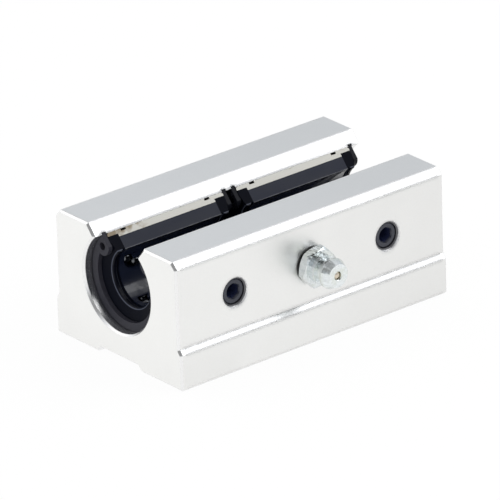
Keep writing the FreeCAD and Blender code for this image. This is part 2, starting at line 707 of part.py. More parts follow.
def make_all():
    """Every piece of the block."""
    make_housing()
    for end, side in (("front", "-"), ("rear", "")):
        centre = f"{side}{BEARING_CENTRE}"
        make_sleeve(f"{end}_bearing_sleeve", centre)
        make_cage(f"{end}_ball_cage", centre)
        for step, place in enumerate(("left", "bottom", "right")):
            make_ball_circuit(f"{end}_{place}_ball_circuit", centre, step)
        make_set_screw(f"{end}_set_screw", f"{side}{SCREW_CENTRE}")
    make_seal("front_outer_seal", f"-{SLEEVE_END}", 0)
    make_seal("front_inner_seal", "-bearing_gap / 2", 180)
    make_seal("rear_inner_seal", "bearing_gap / 2", 0)
    make_seal("rear_outer_seal", SLEEVE_END, 180)
    make_retaining_ring("front_outer_retaining_ring", f"-{SLEEVE_END} - ring_thickness")
    make_retaining_ring("front_inner_retaining_ring", "-bearing_gap / 2")
    make_retaining_ring("rear_inner_retaining_ring", "bearing_gap / 2 - ring_thickness")
    make_retaining_ring("rear_outer_retaining_ring", SLEEVE_END)
    make_nipple()
    make_check_valve()


def check_model(parts):
    """Stops if a feature failed, a shape is missing or unsound, or a cut removed nothing."""
    for item in doc.Objects:
        if {"Invalid", "Error"} & set(item.State):
            raise RuntimeError(f"{item.Label} failed: {item.State}")
        if item.TypeId in ("PartDesign::Pocket", "PartDesign::Groove", "PartDesign::Hole"):
            if item.Shape.Volume > item.BaseFeature.Shape.Volume - 1e-6:
                raise RuntimeError(f"{item.Label} removes nothing")
    for part in parts:
        if part.Shape.isNull() or not part.Shape.isValid() or not part.Shape.Solids:
            raise RuntimeError(f"{part.Label} has no sound shape")


make_all()
doc.recompute()
PIECES = [
    item for item in doc.Objects
    if item.TypeId in ("PartDesign::Body", "Part::Feature", "Part::Sphere")
]
check_model(PIECES)
os.makedirs("parts", exist_ok=True)
for piece in PIECES:
    piece.Shape.exportStep(f"parts/{piece.Label}.step")
    box = piece.Shape.BoundBox
    print(
        f"{piece.Label}: {len(piece.Shape.Solids)} solid(s), {piece.Shape.Volume:.2f} mm3, "
        f"x {box.XMin:.2f}..{box.XMax:.2f}, y {box.YMin:.2f}..{box.YMax:.2f}, "
        f"z {box.ZMin:.2f}..{box.ZMax:.2f}"
    )
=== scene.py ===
import json
import math

import bmesh
import bpy
from bpy.props import FloatProperty, FloatVectorProperty, IntProperty, PointerProperty
from mathutils import Matrix, Vector


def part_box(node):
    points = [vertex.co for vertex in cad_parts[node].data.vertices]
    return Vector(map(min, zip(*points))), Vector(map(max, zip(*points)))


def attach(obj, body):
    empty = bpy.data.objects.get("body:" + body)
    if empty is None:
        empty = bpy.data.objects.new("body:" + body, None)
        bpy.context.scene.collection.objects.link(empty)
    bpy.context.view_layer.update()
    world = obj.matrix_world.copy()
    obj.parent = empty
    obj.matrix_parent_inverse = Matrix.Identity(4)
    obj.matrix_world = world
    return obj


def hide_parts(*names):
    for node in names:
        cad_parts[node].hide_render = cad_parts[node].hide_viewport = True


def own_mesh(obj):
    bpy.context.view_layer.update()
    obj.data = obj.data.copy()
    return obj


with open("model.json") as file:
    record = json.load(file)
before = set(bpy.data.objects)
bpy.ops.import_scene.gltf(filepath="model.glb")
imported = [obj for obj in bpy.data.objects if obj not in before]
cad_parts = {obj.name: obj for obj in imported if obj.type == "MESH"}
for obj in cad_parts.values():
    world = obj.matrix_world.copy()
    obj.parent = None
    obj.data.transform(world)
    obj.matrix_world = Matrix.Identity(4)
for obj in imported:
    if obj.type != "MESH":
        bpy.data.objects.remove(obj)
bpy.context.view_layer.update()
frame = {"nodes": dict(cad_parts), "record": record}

bl_info = {
    "name": "Open linear bearing block",
    "version": (1, 0, 0),
    "blender": (4, 5, 0),
    "location": "3D View > Sidebar > Bearing Block",
    "description": "Finishes, threads, spring and studio for an open twin bearing block",
    "category": "Object",
}

# Sizes are in metres. The bearing's axis runs along X, and the nipple points to -Y.
MM = 0.001
HOUSING_LOW, HOUSING_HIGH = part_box("housing")
NIPPLE_LOW, NIPPLE_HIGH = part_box("grease_nipple_body")
AXIS_HEIGHT = (NIPPLE_LOW.z + NIPPLE_HIGH.z) / 2
# The wall that holds the nipple and the screws stands back from the foot.
WALL = HOUSING_LOW.y + 0.8 * MM

# Where one finish gives way to the next: each pair is the start and the end of the change.
# Along X, at both ends of the block: edges are rounded less from here on.
BLOCK_END = (HOUSING_HIGH.x - 1.6 * MM, HOUSING_HIGH.x - 0.9 * MM)
# Forwards along X from the middle: old grease gathers on the front sleeve.
SLEEVE_END = (20 * MM, 32 * MM)
# Along Y: the outer end of the nipple's hexagon, which is darker, and painted shade behind it.
HEXAGON_END = (WALL - 2.9 * MM, WALL - 2.6 * MM)
GAP_SHADE_EDGE = (WALL - 0.54 * MM, WALL - 0.46 * MM)
# Along Y: past this depth into a screw, the oxide is darker and bluer.
SOCKET_DARKER = (-18.4 * MM, -17.6 * MM)
# Up the block: the lower part is a little darker, as painted shade near the floor.
FOOT_SHADE = (0, 12 * MM)
# From the bearing's axis: the bore's wall, the slot's throat, both sides of a seal's lip, where
# a highlight is painted, and the greasy bore of the cages and seals.
BORE_WALL = (11.05 * MM, 11.15 * MM)
SLOT_THROAT = (10.4 * MM, 10.6 * MM)
LIP_START, LIP_END = (6.16 * MM, 6.26 * MM), (6.36 * MM, 6.46 * MM)
GREASY_BORE = (6.28 * MM, 6.4 * MM)
# How far a face looks along an axis, as a share: square to it, or slanted.
SQUARE = (0.86, 0.95)
SLANTED = (0.3, 0.5)
# The cutter that faced the ends turned about a point this far out on the nipple's side.
CUTTER_OFFSET = 34 * MM

# Threads: the flat shares of a pitch at the crest and the root, and how many rings make a pitch.
CREST, ROOT = 0.12, 0.25
LINING_STEPS, SCREW_STEPS = 12, 16
# A hole's thread is a lining just inside its plain wall: its radius as a share of a mounting
# hole's, and the share of its own wall that the thread cuts.
LINING_RADIUS = 0.998
LINING_CUT = 0.97
# A screw hole's lining is this much wider than the screw, and ends this far before it.
SCREW_LINING_GAP = 0.02 * MM
SCREW_LINING_END = 0.3 * MM


def colour_property(name, description, default):
    """A colour a user may change."""
    return FloatVectorProperty(
        name=name, description=description, subtype="COLOR", size=3, min=0, max=1, default=default
    )


def length_property(name, description, millimetres):
    """A length a user may change, given in millimetres and kept in metres."""
    return FloatProperty(
        name=name, description=description, unit="LENGTH", min=0, precision=5,
        default=millimetres * MM,
    )


def angle_property(name, description, degrees):
    """An angle a user may change, given in degrees."""
    return FloatProperty(
        name=name, description=description, subtype="ANGLE", default=math.radians(degrees)
    )


class BlockFinish(bpy.types.PropertyGroup):
    """Colours of the block's finishes."""

    aluminium: colour_property("Aluminium", "Satin extruded walls", (0.89, 0.89, 0.877))
    # Faced aluminium: the milled ends, a finish of their own, also painted a little lighter as
    # painted light.
    faced_aluminium: colour_property("Faced aluminium", "Milled ends", (0.93, 0.93, 0.915))
    cut_aluminium: colour_property("Cut aluminium", "Slopes and edge breaks", (0.88, 0.88, 0.88))
    steel: colour_property("Sleeve steel", "Ground bearing sleeves", (0.52, 0.51, 0.47))
    grease: colour_property("Grease", "Old grease on the sleeves", (0.36, 0.30, 0.22))
    resin: colour_property("Cage resin", "Moulded ball cages", (0.008, 0.012, 0.030))
    rubber: colour_property("Seal rubber", "End seals", (0.004, 0.005, 0.010))
    # The rings' own oxide, used on the front outer ring.
    ring_oxide: colour_property("Ring oxide", "Dry retaining ring", (0.038, 0.038, 0.050))
    # Painted shade: a darker copy of the ring oxide for the rings that lie in shade.
    shaded_ring_oxide: colour_property("Oiled oxide", "Oily retaining rings", (0.010, 0.011, 0.016))
    screw_oxide: colour_property("Screw oxide", "Set screws", (0.050, 0.053, 0.068))
    zinc: colour_property("Zinc plate", "Grease nipple", (0.84, 0.88, 0.89))
    zinc_tint: colour_property("Zinc tint", "Yellow-green tint of the plating", (0.79, 0.83, 0.79))
    # Painted shade: near black for the nipple's thread in the gap by the wall.
    gap_shade: colour_property("Thread sealant", "Round the nipple's thread", (0.012, 0.014, 0.017))
    # Ball steel: much darker than bare steel, as painted shade inside the cages.
    ball_steel: colour_property("Ball steel", "Bearing balls", (0.12, 0.125, 0.135))
    # Painted shade: a dark colour for the thread lining the screw holes.
    shaded_thread: colour_property("Oily thread", "Thread round the screws", (0.16, 0.16, 0.17))
    socket_blue: colour_property("Socket blue", "Inside the screws' sockets", (0.020, 0.026, 0.070))
    # Seal edge: a painted highlight along the seals' lips.
    seal_lip_highlight: colour_property("Seal edge", "Worn edge of the seals' lips", (0.085, 0.095, 0.13))
    check_ball: colour_property("Check ball", "Ball in the nipple's mouth", (0.72, 0.64, 0.52))
    spring_steel: colour_property("Spring steel", "Spring behind the check ball", (0.5, 0.5, 0.5))


class BlockThreads(bpy.types.PropertyGroup):
    """Sizes of the threads, the screws' sockets and the nipple's spring."""

    screw_pitch: length_property("Screw pitch", "Pitch of the set screws", 1.0)
    screw_depth: length_property("Screw thread depth", "Depth of the set screws' thread", 0.54)
    screw_chamfer: length_property("Screw chamfer", "Chamfer at each end of a set screw", 0.5)
    cup_diameter: length_property("Cup diameter", "Cup point of a set screw", 3.0)
    cup_depth: length_property("Cup depth", "Depth of the cup point", 0.8)
    socket_width: length_property("Socket width", "Hexagon socket across its flats", 3.0)
    socket_depth: length_property("Socket depth", "Depth of the hexagon socket", 3.5)
    socket_bevel: length_property("Socket bevel", "Bevel round the socket", 0.25)
    hole_pitch: length_property("Hole pitch", "Pitch of the mounting holes", 0.8)
    hole_thread_depth: length_property("Hole thread depth", "Depth of the holes' thread", 0.4)
    hole_depth: length_property("Hole depth", "Threaded depth of the mounting holes", 12.0)
    hole_chamfer: length_property("Hole chamfer", "Chamfer at the mouths of the tapped holes", 0.3)
    screw_hole_crest: length_property("Screw hole crest", "Depth of the screw holes' thread", 0.28)
    spring_wire: length_property("Spring wire", "Wire of the nipple's spring", 0.24)
    spring_diameter: length_property("Spring diameter", "Outside of the nipple's spring", 1.75)
    spring_turns: FloatProperty(
        name="Spring turns", description="Turns of the nipple's spring", min=1, default=9
    )
    facets: IntProperty(name="Facets", description="Sides of a turned thread", min=12, default=96)


class BlockStage(bpy.types.PropertyGroup):
    """Camera and lamps."""

    azimuth: angle_property("Azimuth", "Camera's turn about the vertical", -38.99)
    elevation: angle_property("Elevation", "Camera's height above the floor", 24.07)
    roll: angle_property("Roll", "Camera's tilt about its own line of sight", -1.777)
    distance: length_property("Distance", "From the aim point to the camera", 1585.6)
    aim: FloatVectorProperty(
        name="Aim", description="Point the camera looks at", subtype="XYZ", unit="LENGTH",
        default=(0.00301, 0.0041951, 0.0115407),
    )
    lens: FloatProperty(
        name="Lens", description="Focal length of the camera", unit="CAMERA", default=561.62
    )
    lamp_radiance: FloatProperty(
        name="Key lamp", description="Radiance of the key lamp", min=0, default=1.15
    )
    lamp_size: length_property("Lamp size", "Side of the square key lamp", 430)
    sky: FloatProperty(name="Sky", description="Level of the light all round", min=0, default=0.8)
    floor_share: FloatProperty(
        name="Floor shading", description="Share of the floor that takes shadows",
        subtype="FACTOR", min=0, max=1, default=0.10,
    )


# --- Nodes -------------------------------------------------------------------------------------


def add(tree, kind, inputs=None, **settings):
    """A node. Each input is a value or another node's output, by the input's name or number."""
    node = tree.nodes.new(kind)
    for name, value in settings.items():
        setattr(node, name, value)
    for key, value in (inputs or {}).items():
        if isinstance(value, bpy.types.NodeSocket):
            tree.links.new(value, node.inputs[key])
        else:
            node.inputs[key].default_value = value
    return node


def maths(tree, operation, *terms):
    """The output of one Math node."""
    return add(tree, "ShaderNodeMath", dict(enumerate(terms)), operation=operation).outputs[0]


def product(tree, *factors):
    """All the factors multiplied together."""
    result = factors[0]
    for factor in factors[1:]:
        result = maths(tree, "MULTIPLY", result, factor)
    return result


def opposite(tree, share):
    """1 where share is 0, and 0 where it is 1."""
    return maths(tree, "SUBTRACT", 1.0, share)


def diagonal(tree, first, second):
    """How far away a point is that lies first one way and second at right angles to it."""
    squares = [maths(tree, "MULTIPLY", side, side) for side in (first, second)]
    return maths(tree, "SQRT", maths(tree, "ADD", *squares))


def step_up(tree, value, low, high):
    """Rises smoothly from 0 at low to 1 at high."""
    ramp = add(
        tree, "ShaderNodeMapRange", {"Value": value, "From Min": low, "From Max": high},
        interpolation_type="SMOOTHSTEP",
    )
    return ramp.outputs["Result"]


def between(tree, share, low, high):
    """A number that goes from low to high as share goes from 0 to 1."""
    ramp = add(tree, "ShaderNodeMapRange", {"Value": share, "To Min": low, "To Max": high})
    return ramp.outputs["Result"]


def blend_numbers(tree, share, first, second):
    """The first number where share is 0, the second where it is 1. Either may be an output."""
    inputs = {"Factor": share, 2: first, 3: second}
    return add(tree, "ShaderNodeMix", inputs, data_type="FLOAT").outputs[0]


def blend_colours(tree, share, first, second):
    """The first colour where share is 0, the second where it is 1. Either may be an output."""
    inputs = {"Factor": share}
    for number, colour in ((6, first), (7, second)):
        inputs[number] = colour if isinstance(colour, bpy.types.NodeSocket) else (*colour, 1)
    return add(tree, "ShaderNodeMix", inputs, data_type="RGBA").outputs[2]


def scaled(tree, vector, factor):
    """A colour or a direction multiplied by a number."""
    inputs = {0: vector, "Scale": factor}
    return add(tree, "ShaderNodeVectorMath", inputs, operation="SCALE").outputs[0]


def noise(tree, place, size, detail=2.0, stretch=(1, 1, 1)):
    """Noise from 0 to 1 whose lumps are about the given size, stretched along each axis."""
    scale = [1 / (size * factor) for factor in stretch]
    mapped = add(tree, "ShaderNodeMapping", {"Vector": place, "Scale": scale})
    texture = add(
        tree, "ShaderNodeTexNoise", {"Vector": mapped.outputs[0], "Scale": 1.0, "Detail": detail}
    )
    return texture.outputs["Fac"]


def bumps(tree, *layers, rounded=None):
    """A normal from several (height, distance) layers, over edges rounded to a radius if asked."""
    normal = None
    if rounded is not None:
        normal = add(tree, "ShaderNodeBevel", {"Radius": rounded}, samples=4).outputs[0]
    for height, distance in layers:
        inputs = {"Height": height, "Distance": distance, "Strength": 1.0}
        if normal is not None:
            inputs["Normal"] = normal
        normal = add(tree, "ShaderNodeBump", inputs).outputs[0]
    return normal


class Finish:
    """A material under construction: its tree, its shader and where a point lies on the object."""

    def __init__(self, name, **settings):
        self.material = bpy.data.materials.new(name)
        self.material.use_nodes = True
        self.tree = self.material.node_tree
        self.shader = self.tree.nodes["Principled BSDF"]
        coordinates = add(self.tree, "ShaderNodeTexCoord")
        self.place = coordinates.outputs["Object"]
        self.facing = coordinates.outputs["Normal"]
        for socket, value in settings.items():
            self.shader.inputs[socket.replace("_", " ")].default_value = value

    def parts(self, vector):
        """The x, y and z of a vector."""
        return add(self.tree, "ShaderNodeSeparateXYZ", {0: vector}).outputs[:]

    def drive(self, **sockets):
        """Joins outputs to the shader's inputs."""
        for socket, output in sockets.items():
            self.tree.links.new(output, self.shader.inputs[socket.replace("_", " ")])

    def from_axis(self):
        """Distance from the bearing's axis."""
        _, y, z = self.parts(self.place)
        return diagonal(self.tree, y, maths(self.tree, "SUBTRACT", z, AXIS_HEIGHT))


def dress(material, *names):
    """Gives CAD nodes a material."""
    for name in names:
        mesh = frame["nodes"][name].data
        mesh.materials.clear()
        mesh.materials.append(material)


def nodes_ending(ending):
    """Names of the CAD nodes with a common ending."""
    return [name for name in frame["nodes"] if name.endswith(ending)]


# --- Finishes ----------------------------------------------------------------------------------


def aluminium_finish(colours):
    """Satin extrusion: blasted walls, milled slopes and ends, and a turned bore."""
    finish = Finish("satin_aluminium", Metallic=1.0, Specular_IOR_Level=0.5)
    tree, place = finish.tree, finish.place
    x, y, z = finish.parts(place)
    facing_x, facing_y, facing_z = (
        maths(tree, "ABSOLUTE", side) for side in finish.parts(finish.facing)
    )
    radius = finish.from_axis()

    # Which part of the housing a point lies on.
    end_face = step_up(tree, facing_x, *SQUARE)
    not_end = opposite(tree, end_face)
    edge_break = product(tree, step_up(tree, facing_x, *SLANTED), not_end)
    slope = product(
        tree,
        step_up(tree, facing_y, *SLANTED),
        step_up(tree, facing_z, *SLANTED),
        step_up(tree, radius, *SLOT_THROAT),
    )
    cut = maths(tree, "MAXIMUM", slope, edge_break)
    bore = product(tree, opposite(tree, step_up(tree, radius, *BORE_WALL)), not_end)
    along = step_up(tree, x, HOUSING_LOW.x, HOUSING_HIGH.x)
    above_foot_shade = step_up(tree, z, *FOOT_SHADE)
    near_end = step_up(tree, maths(tree, "ABSOLUTE", x), *BLOCK_END)

    # Marks of the blasting, the die, the lathe and the cutter, and stains.
    blast = noise(tree, place, 0.12 * MM, detail=3)
    drawn = noise(tree, place, 0.1 * MM, stretch=(140, 1, 1))
    turned = noise(tree, place, 0.06 * MM, stretch=(1, 400, 400))
    from_cutter = diagonal(tree, maths(tree, "ADD", y, CUTTER_OFFSET), z)
    arcs = add(tree, "ShaderNodeCombineXYZ", {0: from_cutter}).outputs[0]
    milled = noise(tree, arcs, 0.16 * MM, detail=3)
    cloud = noise(tree, place, 7 * MM, detail=3)
    speckle = noise(tree, place, 0.35 * MM)
    fleck = step_up(tree, noise(tree, place, 0.5 * MM, detail=4), 0.64, 0.78)

    tone = product(
        tree,
        between(tree, cloud, 0.97, 1.03),
        between(tree, along, 1.015, 0.94),
        between(tree, fleck, 1.0, 0.95),
        between(tree, speckle, 0.975, 1.025),
        # Painted shade: a little darker low on the foot, near the floor.
        between(tree, above_foot_shade, 0.98, 1.0),
    )
    # The milled ends are lighter: partly their own finish, partly painted light.
    base = blend_colours(tree, end_face, colours.aluminium, colours.faced_aluminium)
    base = blend_colours(tree, cut, base, colours.cut_aluminium)

    roughness = between(tree, cloud, 0.33, 0.41)
    roughness = blend_numbers(tree, cut, roughness, 0.22)
    roughness = blend_numbers(tree, bore, roughness, 0.27)

    normal = bumps(
        tree,
        (product(tree, blast, between(tree, cut, 1.0, 0.15)), 0.006 * MM),
        (product(tree, drawn, not_end), 0.0016 * MM),
        (product(tree, turned, bore), 0.006 * MM),
        (product(tree, milled, end_face), 0.004 * MM),
        rounded=between(tree, near_end, 1.2 * MM, 0.2 * MM),
    )
    finish.drive(Base_Color=scaled(tree, base, tone), Roughness=roughness, Normal=normal)
    return finish.material


def sleeve_finish(colours):
    """Ground steel with a film of old grease, most of it near the front."""
    finish = Finish("ground_steel", Metallic=1.0)
    tree, place = finish.tree, finish.place
    x, _, _ = finish.parts(place)
    ground = noise(tree, place, 0.05 * MM, detail=3, stretch=(1, 30, 30))
    patch = noise(tree, place, 2.2 * MM, detail=4)
    near_end = step_up(tree, maths(tree, "MULTIPLY", x, -1.0), *SLEEVE_END)
    film = step_up(tree, maths(tree, "ADD", patch, product(tree, near_end, 0.34)), 0.62, 0.86)
    base = blend_colours(tree, film, colours.steel, colours.grease)
    base = scaled(tree, base, between(tree, ground, 0.88, 1.08))
    roughness = blend_numbers(tree, film, between(tree, ground, 0.34, 0.5), 0.55)
    normal = bumps(tree, (ground, 0.004 * MM), (film, 0.02 * MM))
    finish.drive(Base_Color=base, Roughness=roughness, Normal=normal)
    return finish.material


def moulded_finish(name, colour, gloss, roughness, grain, depth, grease, lip=None):
    """Dark moulded resin or rubber with grease in its bore, and perhaps a painted highlight on its
    lip.
    """
    finish = Finish(name, IOR=1.5, Specular_IOR_Level=gloss, Coat_Roughness=0.12, Coat_IOR=1.5)
    tree, place = finish.tree, finish.place
    radius = finish.from_axis()
    texture = noise(tree, place, grain, detail=3)
    smear = noise(tree, place, 3.0 * MM, detail=3, stretch=(2.5, 1, 1))
    base = scaled(tree, colour, between(tree, smear, 0.75, 1.3))
    # A painted highlight: a lighter band along the seal's lip.
    if lip is not None:
        worn = product(
            tree, step_up(tree, radius, *LIP_START), opposite(tree, step_up(tree, radius, *LIP_END))
        )
        base = blend_colours(tree, worn, base, lip)
    in_bore = opposite(tree, step_up(tree, radius, *GREASY_BORE))
    patch = step_up(tree, noise(tree, place, 1.3 * MM, detail=4), 0.36, 0.56)
    finish.drive(
        Base_Color=base,
        Roughness=blend_numbers(tree, smear, roughness, roughness + 0.22),
        Coat_Weight=product(tree, in_bore, between(tree, patch, 0.45, 1.0), grease),
        Normal=bumps(tree, (texture, depth), (smear, 0.05 * MM)),
    )
    return finish.material


def oxide_finish(name, colour, gloss, socket=None):
    """Blackened steel: dark, with a dull sheen, slight wear and perhaps a darker, bluer socket."""
    finish = Finish(name, IOR=1.5, Specular_IOR_Level=gloss)
    tree, place = finish.tree, finish.place
    worn = noise(tree, place, 0.9 * MM, detail=5)
    grain = noise(tree, place, 0.08 * MM)
    base = scaled(tree, colour, between(tree, worn, 0.8, 1.25))
    if socket is not None:
        _, y, _ = finish.parts(place)
        base = blend_colours(tree, step_up(tree, y, *SOCKET_DARKER), base, socket)
    finish.drive(
        Base_Color=base,
        Roughness=between(tree, worn, 0.26, 0.44),
        Normal=bumps(tree, (grain, 0.004 * MM), rounded=0.12 * MM),
    )
    return finish.material


def zinc_finish(colours):
    """Bright zinc plate with the faint tint of its passivation, and painted shade round its thread.
    """
    finish = Finish("zinc_plate", Metallic=1.0)
    tree, place = finish.tree, finish.place
    _, y, _ = finish.parts(place)
    tint = step_up(tree, noise(tree, place, 2.2 * MM, detail=3), 0.42, 0.66)
    turned = noise(tree, place, 0.06 * MM, stretch=(200, 1, 200))
    grain = noise(tree, place, 0.1 * MM, detail=3)
    streak = noise(tree, place, 0.5 * MM, detail=3, stretch=(1, 5, 1))
    ripple = noise(tree, place, 0.9 * MM, stretch=(1, 3, 1))
    on_hexagon = step_up(tree, y, *HEXAGON_END)
    base = blend_colours(tree, tint, colours.zinc, colours.zinc_tint)
    base = scaled(tree, base, between(tree, streak, 0.76, 1.12))
    base = scaled(tree, base, between(tree, on_hexagon, 1.0, 0.90))
    # Painted shade: near black on the thread in the gap next to the wall.
    base = blend_colours(tree, step_up(tree, y, *GAP_SHADE_EDGE), base, colours.gap_shade)
    normal = bumps(
        tree, (ripple, 0.14 * MM), (grain, 0.003 * MM), (turned, 0.002 * MM), rounded=0.1 * MM
    )
    finish.drive(Base_Color=base, Roughness=between(tree, grain, 0.14, 0.26), Normal=normal)
    return finish.material


def polished_finish(name, colour, smoothest, roughest):
    """Polished metal with faint scuffs, between two roughnesses."""
    finish = Finish(name, Metallic=1.0)
    tree = finish.tree
    scuff = noise(tree, finish.place, 0.3 * MM, detail=4)
    base = scaled(tree, colour, between(tree, scuff, 0.92, 1.04))
    finish.drive(Base_Color=base, Roughness=between(tree, scuff, smoothest, roughest))
    return finish.material


# --- Shapes ------------------------------------------------------------------------------------


def mesh_from_rings(name, rings, closed=False):
    """A mesh whose rings of equal length follow each other. A ring of one point makes a pole."""
    shape = bmesh.new()
    rows = [[shape.verts.new(point) for point in ring] for ring in rings]
    pairs = list(zip(rows, rows[1:]))
    if closed:
        pairs.append((rows[-1], rows[0]))
    for low, high in pairs:
        count = max(len(low), len(high))
        for side in range(count):
            following = (side + 1) % count
            corners = [low[side % len(low)], low[following % len(low)]]
            corners += [high[following % len(high)], high[side % len(high)]]
            shape.faces.new(list(dict.fromkeys(corners)))
    bmesh.ops.recalc_face_normals(shape, faces=shape.faces)
    mesh = bpy.data.meshes.new(name)
    shape.to_mesh(mesh)
    shape.free()
    return mesh


def round_ring(radius, height, facets):
    """Points of a circle about Z."""
    turns = [2 * math.pi * side / facets for side in range(facets)]
    return [Vector((radius * math.cos(turn), radius * math.sin(turn), height)) for turn in turns]


def hexagon_ring(width, height, facets):
    """Points of a hexagon about Z, at the same angles as a circle's."""
    sixth = math.pi / 3
    points = []
    for side in range(facets):
        turn = 2 * math.pi * side / facets
        from_flat = (turn + sixth / 2) % sixth - sixth / 2
        radius = width / 2 / math.cos(from_flat)
        points.append(Vector((radius * math.cos(turn), radius * math.sin(turn), height)))
    return points


def stack_of_rings(radius, low, high, steps, facets):
    """Equal circles about Z, evenly spaced from low to high."""
    heights = [low + (high - low) * step / steps for step in range(steps + 1)]
    return [round_ring(radius, height, facets) for height in heights]


def into_wall(x, y):
    """Places a shape made about Z so that it runs into the wall, at the height of the axis."""
    return Matrix.Translation((x, y, AXIS_HEIGHT)) @ Matrix.Rotation(-math.pi / 2, 4, "X")


def new_object(name, data):
    """Adds an object to the scene."""
    made = bpy.data.objects.new(name, data)
    bpy.context.scene.collection.objects.link(made)
    return made


def place_piece(name, mesh, place, body, material):
    """Adds a finished mesh to the scene, with its place in its mesh."""
    mesh.transform(place)
    mesh.materials.clear()
    mesh.materials.append(material)
    piece = new_object(name, mesh)
    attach(piece, body)
    return piece


def sharpen(mesh, degrees=35):
    """Smooth shading with hard edges where faces meet at more than an angle."""
    mesh.shade_smooth()
    mesh.set_sharp_from_angle(angle=math.radians(degrees))


def new_tree(name, sizes, takes_geometry):
    """A Geometry Nodes tree with a named input for each size and one for the material."""
    tree = bpy.data.node_groups.new(name, "GeometryNodeTree")
    tree.interface.new_socket("Geometry", in_out="OUTPUT", socket_type="NodeSocketGeometry")
    if takes_geometry:
        tree.interface.new_socket("Geometry", in_out="INPUT", socket_type="NodeSocketGeometry")
    for size in sizes:
        tree.interface.new_socket(size, in_out="INPUT", socket_type="NodeSocketFloat")
    tree.interface.new_socket("Material", in_out="INPUT", socket_type="NodeSocketMaterial")
    return tree, add(tree, "NodeGroupInput").outputs


def end_tree(tree, geometry, material):
    """Ends a tree in smooth shading, Realize Instances and Set Material."""
    smooth = add(tree, "GeometryNodeSetShadeSmooth", {"Geometry": geometry}).outputs[0]
    real = add(tree, "GeometryNodeRealizeInstances", {"Geometry": smooth}).outputs[0]
    inputs = {"Geometry": real, "Material": material}
    painted = add(tree, "GeometryNodeSetMaterial", inputs).outputs[0]
    add(tree, "NodeGroupOutput", {"Geometry": painted})


def thread_tree():
    """Cuts a helical thread into a turned mesh about Z. A negative depth cuts outwards."""
    name = "Thread"
    if name in bpy.data.node_groups:
        return bpy.data.node_groups[name]
    sizes = ("Pitch", "Phase", "Depth", "Start", "End", "Run-out", "Crest", "Root")
    tree, given = new_tree(name, sizes, takes_geometry=True)
    position = add(tree, "GeometryNodeInputPosition").outputs[0]
    x, y, z = add(tree, "ShaderNodeSeparateXYZ", {0: position}).outputs[:]

    # How far a point is from the nearest crest, from 0 to 1, and how deep that makes the cut.
    turn = maths(tree, "DIVIDE", maths(tree, "ARCTAN2", y, x), 2 * math.pi)
    turns_up = maths(tree, "DIVIDE", z, given["Pitch"])
    turns_up = maths(tree, "ADD", turns_up, given["Phase"])
    phase = maths(tree, "FRACT", maths(tree, "SUBTRACT", turns_up, turn))
    from_middle = maths(tree, "ABSOLUTE", maths(tree, "SUBTRACT", phase, 0.5))
    from_crest = maths(tree, "MULTIPLY", from_middle, 2.0)
    flank = add(tree, "ShaderNodeMapRange", {
        "Value": from_crest, "From Min": given["Crest"], "From Max": opposite(tree, given["Root"]),
    }).outputs["Result"]

    # The thread runs out towards both ends.
    after_start = maths(tree, "SUBTRACT", z, given["Start"])
    before_end = maths(tree, "SUBTRACT", given["End"], z)
    run_outs = [
        add(tree, "ShaderNodeClamp", {"Value": maths(tree, "DIVIDE", distance, given["Run-out"])})
        for distance in (after_start, before_end)
    ]
    cut = product(tree, flank, *(end.outputs[0] for end in run_outs), given["Depth"], -1.0)

    level = add(tree, "ShaderNodeCombineXYZ", {0: x, 1: y}).outputs[0]
    outwards = add(tree, "ShaderNodeVectorMath", {0: level}, operation="NORMALIZE").outputs[0]
    inputs = {"Geometry": given["Geometry"], "Offset": scaled(tree, outwards, cut)}
    moved = add(tree, "GeometryNodeSetPosition", inputs).outputs[0]
    end_tree(tree, moved, given["Material"])
    return tree


def spring_tree():
    """A coil spring along Z."""
    sizes = ("Radius", "Wire Radius", "Length", "Turns")
    tree, given = new_tree("Coil Spring", sizes, takes_geometry=False)
    coil = add(tree, "GeometryNodeCurveSpiral", {
        "Resolution": 32, "Rotations": given["Turns"], "Start Radius": given["Radius"],
        "End Radius": given["Radius"], "Height": given["Length"],
    }).outputs[0]
    inputs = {"Resolution": 14, "Radius": given["Wire Radius"]}
    section = add(tree, "GeometryNodeCurvePrimitiveCircle", inputs).outputs[0]
    inputs = {"Curve": coil, "Profile Curve": section, "Fill Caps": True}
    wire = add(tree, "GeometryNodeCurveToMesh", inputs).outputs[0]
    end_tree(tree, wire, given["Material"])
    return tree


def run_tree(tree, mesh, values):
    """The mesh that a tree makes, with its named inputs set."""
    carrier = new_object("carrier", mesh)
    modifier = carrier.modifiers.new("Nodes", "NODES")
    modifier.node_group = tree
    for item in tree.interface.items_tree:
        if item.in_out == "INPUT" and item.name in values:
            modifier[item.identifier] = values[item.name]
    evaluated = carrier.evaluated_get(bpy.context.evaluated_depsgraph_get())
    made = bpy.data.meshes.new_from_object(evaluated)
    bpy.data.objects.remove(carrier)
    bpy.data.meshes.remove(mesh)
    return made


def cut_thread(blank, pitch, depth, start, end, material, phase=0.0):
    """A turned blank with its thread cut between two heights."""
    return run_tree(thread_tree(), blank, {
        "Pitch": pitch, "Phase": phase, "Depth": depth, "Start": start, "End": end,
        "Run-out": pitch / 2, "Crest": CREST, "Root": ROOT, "Material": material,
    })


def tapped_thread(name, place, radius, depth, length, pitch, sizes, material, phase=0.0):
    """The thread that lines a tapped hole, from the end of its chamfer, about its own Z axis."""
    start, facets = sizes.hole_chamfer, sizes.facets
    low, high = start + depth, length - depth
    steps = round((high - low) / pitch * LINING_STEPS)
    rings = [round_ring(radius, start, facets)]
    rings += stack_of_rings(radius - depth, low, high, steps, facets)
    rings.append(round_ring(radius, length, facets))
    blank = mesh_from_rings("thread_blank", rings, closed=True)
    mesh = cut_thread(blank, pitch, -LINING_CUT * depth, low, high, material, phase)
    place_piece(name, mesh, place, "block", material)


